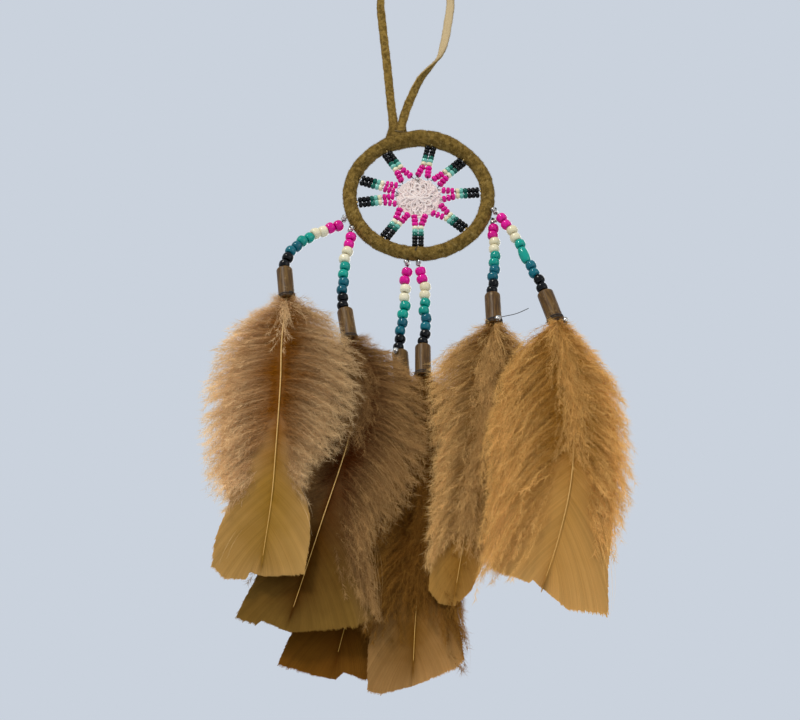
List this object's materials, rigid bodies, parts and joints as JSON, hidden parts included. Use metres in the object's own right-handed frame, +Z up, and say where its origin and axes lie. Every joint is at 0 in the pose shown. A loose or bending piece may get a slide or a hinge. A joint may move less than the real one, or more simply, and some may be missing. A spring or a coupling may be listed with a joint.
{
  "type": "dream catcher",
  "caption": "Hanging ornament: suede-wrapped hoop with a beaded thread web, a lace loop, and beaded strands that end in wooden tubes and dyed feathers.",
  "frame": {"origin": "inside of the hanging loop's top, where a hook or nail bears", "axes": "+Z up; the hoop lies in the XZ plane; the front, where the finished side of the suede faces, is -Y; +X is to the right seen from the front"},
  "size_m": [0.1634, 0.0246, 0.3402],
  "materials": {
    "suede": "napped olive-brown suede, matt",
    "ring_wire": "plain drawn wire",
    "silver": "bright plated",
    "black_thread": "waxed twisted thread",
    "pale_thread": "off-white twisted thread",
    "black_glass": "glossy opaque glass",
    "dark_green_glass": "glossy dark green glass",
    "turquoise_glass": "glossy opaque turquoise glass",
    "cream_glass": "glossy opaque cream glass",
    "pink_glass": "glossy opaque magenta glass",
    "green_glass": "glossy opaque sea-green glass",
    "teal_glass": "glossy opaque teal glass",
    "brown_wood": "polished brown wood",
    "tan_feather": "dyed golden-tan down and vane",
    "brown_feather": "dyed brown down and vane",
    "golden_feather": "dyed golden down and vane"
  },
  "bodies": {
    "lace": {"hanging_lace": "suede"},
    "hitch": {"lace_hitch": "suede"},
    "hoop": {"hoop_core": "ring_wire", "suede_wrap": "suede", "silver_crimps": "silver", "web_thread": "black_thread", "web_black_beads": "black_glass", "web_dark_green_beads": "dark_green_glass", "web_turquoise_beads": "turquoise_glass", "web_cream_beads": "cream_glass", "web_pink_beads": "pink_glass", "centre_rosette": "pale_thread"},
    "strand_1": {"strand_thread_1": "black_thread", "pink_beads_1": "pink_glass", "cream_beads_1": "cream_glass", "green_beads_1": "green_glass", "teal_beads_1": "teal_glass", "black_beads_1": "black_glass", "wood_tube_1": "brown_wood"},
    "plume_1": {"feather_1": "tan_feather"},
    "strand_2": {"strand_thread_2": "black_thread", "pink_beads_2": "pink_glass", "cream_beads_2": "cream_glass", "green_beads_2": "green_glass", "teal_beads_2": "teal_glass", "black_beads_2": "black_glass", "wood_tube_2": "brown_wood"},
    "plume_2": {"feather_2": "brown_feather"},
    "strand_3": {"strand_thread_3": "black_thread", "pink_beads_3": "pink_glass", "cream_beads_3": "cream_glass", "green_beads_3": "green_glass", "teal_beads_3": "teal_glass", "black_beads_3": "black_glass", "wood_tube_3": "brown_wood"},
    "plume_3": {"feather_3": "brown_feather"},
    "strand_4": {"strand_thread_4": "black_thread", "pink_beads_4": "pink_glass", "cream_beads_4": "cream_glass", "green_beads_4": "green_glass", "teal_beads_4": "teal_glass", "black_beads_4": "black_glass", "wood_tube_4": "brown_wood"},
    "plume_4": {"feather_4": "brown_feather"},
    "strand_5": {"strand_thread_5": "black_thread", "pink_beads_5": "pink_glass", "cream_beads_5": "cream_glass", "green_beads_5": "green_glass", "teal_beads_5": "teal_glass", "black_beads_5": "black_glass", "wood_tube_5": "brown_wood"},
    "plume_5": {"feather_5": "tan_feather"},
    "strand_6": {"strand_thread_6": "black_thread", "pink_beads_6": "pink_glass", "cream_beads_6": "cream_glass", "green_beads_6": "green_glass", "teal_beads_6": "teal_glass", "black_beads_6": "black_glass", "wood_tube_6": "brown_wood"},
    "plume_6": {"feather_6": "golden_feather"}
  },
  "joints": [
    {"name": "hoop_twist", "type": "hinge", "parent": "lace", "child": "hitch", "pos_m": [-0.008, 0, -0.081], "axis": [0, 0, 1], "range_deg": [-90, 90]},
    {"name": "hoop_tilt", "type": "hinge", "parent": "hitch", "child": "hoop", "pos_m": [-0.00798, 0, -0.09117], "axis": [0.9613, 0, 0.2756], "range_deg": [-25, 25]},
    {"name": "strand_1_sway", "type": "hinge", "parent": "hoop", "child": "strand_1", "pos_m": [-0.0312, -0.0024, -0.1326], "axis": [0, 1, 0], "range_deg": [-15, 20]},
    {"name": "strand_2_sway", "type": "hinge", "parent": "hoop", "child": "strand_2", "pos_m": [-0.0284, -0.0012, -0.137], "axis": [0, 1, 0], "range_deg": [-10, 12]},
    {"name": "strand_3_sway", "type": "hinge", "parent": "hoop", "child": "strand_3", "pos_m": [-0.0048, 0.0005, -0.1524], "axis": [0, 1, 0], "range_deg": [-1, 15]},
    {"name": "strand_4_sway", "type": "hinge", "parent": "hoop", "child": "strand_4", "pos_m": [-0.0003, 0.0005, -0.1524], "axis": [0, 1, 0], "range_deg": [-15, 1]},
    {"name": "strand_5_sway", "type": "hinge", "parent": "hoop", "child": "strand_5", "pos_m": [0.0308, 0.0008, -0.1318], "axis": [0, 1, 0], "range_deg": [-8, 10]},
    {"name": "strand_6_sway", "type": "hinge", "parent": "hoop", "child": "strand_6", "pos_m": [0.0319, -0.0016, -0.1284], "axis": [0, 1, 0], "range_deg": [-20, 10]},
    {"name": "feather_1_swing", "type": "hinge", "parent": "strand_1", "child": "plume_1", "pos_m": [-0.05341, -0.009, -0.17543], "axis": [0, 1, 0], "range_deg": [-15, 15]},
    {"name": "feather_2_swing", "type": "hinge", "parent": "strand_2", "child": "plume_2", "pos_m": [-0.02801, -0.002, -0.19053], "axis": [0, 1, 0], "range_deg": [-15, 15]},
    {"name": "feather_3_swing", "type": "hinge", "parent": "strand_3", "child": "plume_3", "pos_m": [-0.00681, 0.008, -0.20446], "axis": [0, 1, 0], "range_deg": [-15, 15]},
    {"name": "feather_4_swing", "type": "hinge", "parent": "strand_4", "child": "plume_4", "pos_m": [0.0014, 0.005, -0.2035], "axis": [0, 1, 0], "range_deg": [-15, 15]},
    {"name": "feather_5_swing", "type": "hinge", "parent": "strand_5", "child": "plume_5", "pos_m": [0.0303, 0.0006, -0.18169], "axis": [0, 1, 0], "range_deg": [-15, 15]},
    {"name": "feather_6_swing", "type": "hinge", "parent": "strand_6", "child": "plume_6", "pos_m": [0.05506, -0.0055, -0.18386], "axis": [0, 1, 0], "range_deg": [-15, 15]}
  ]
}
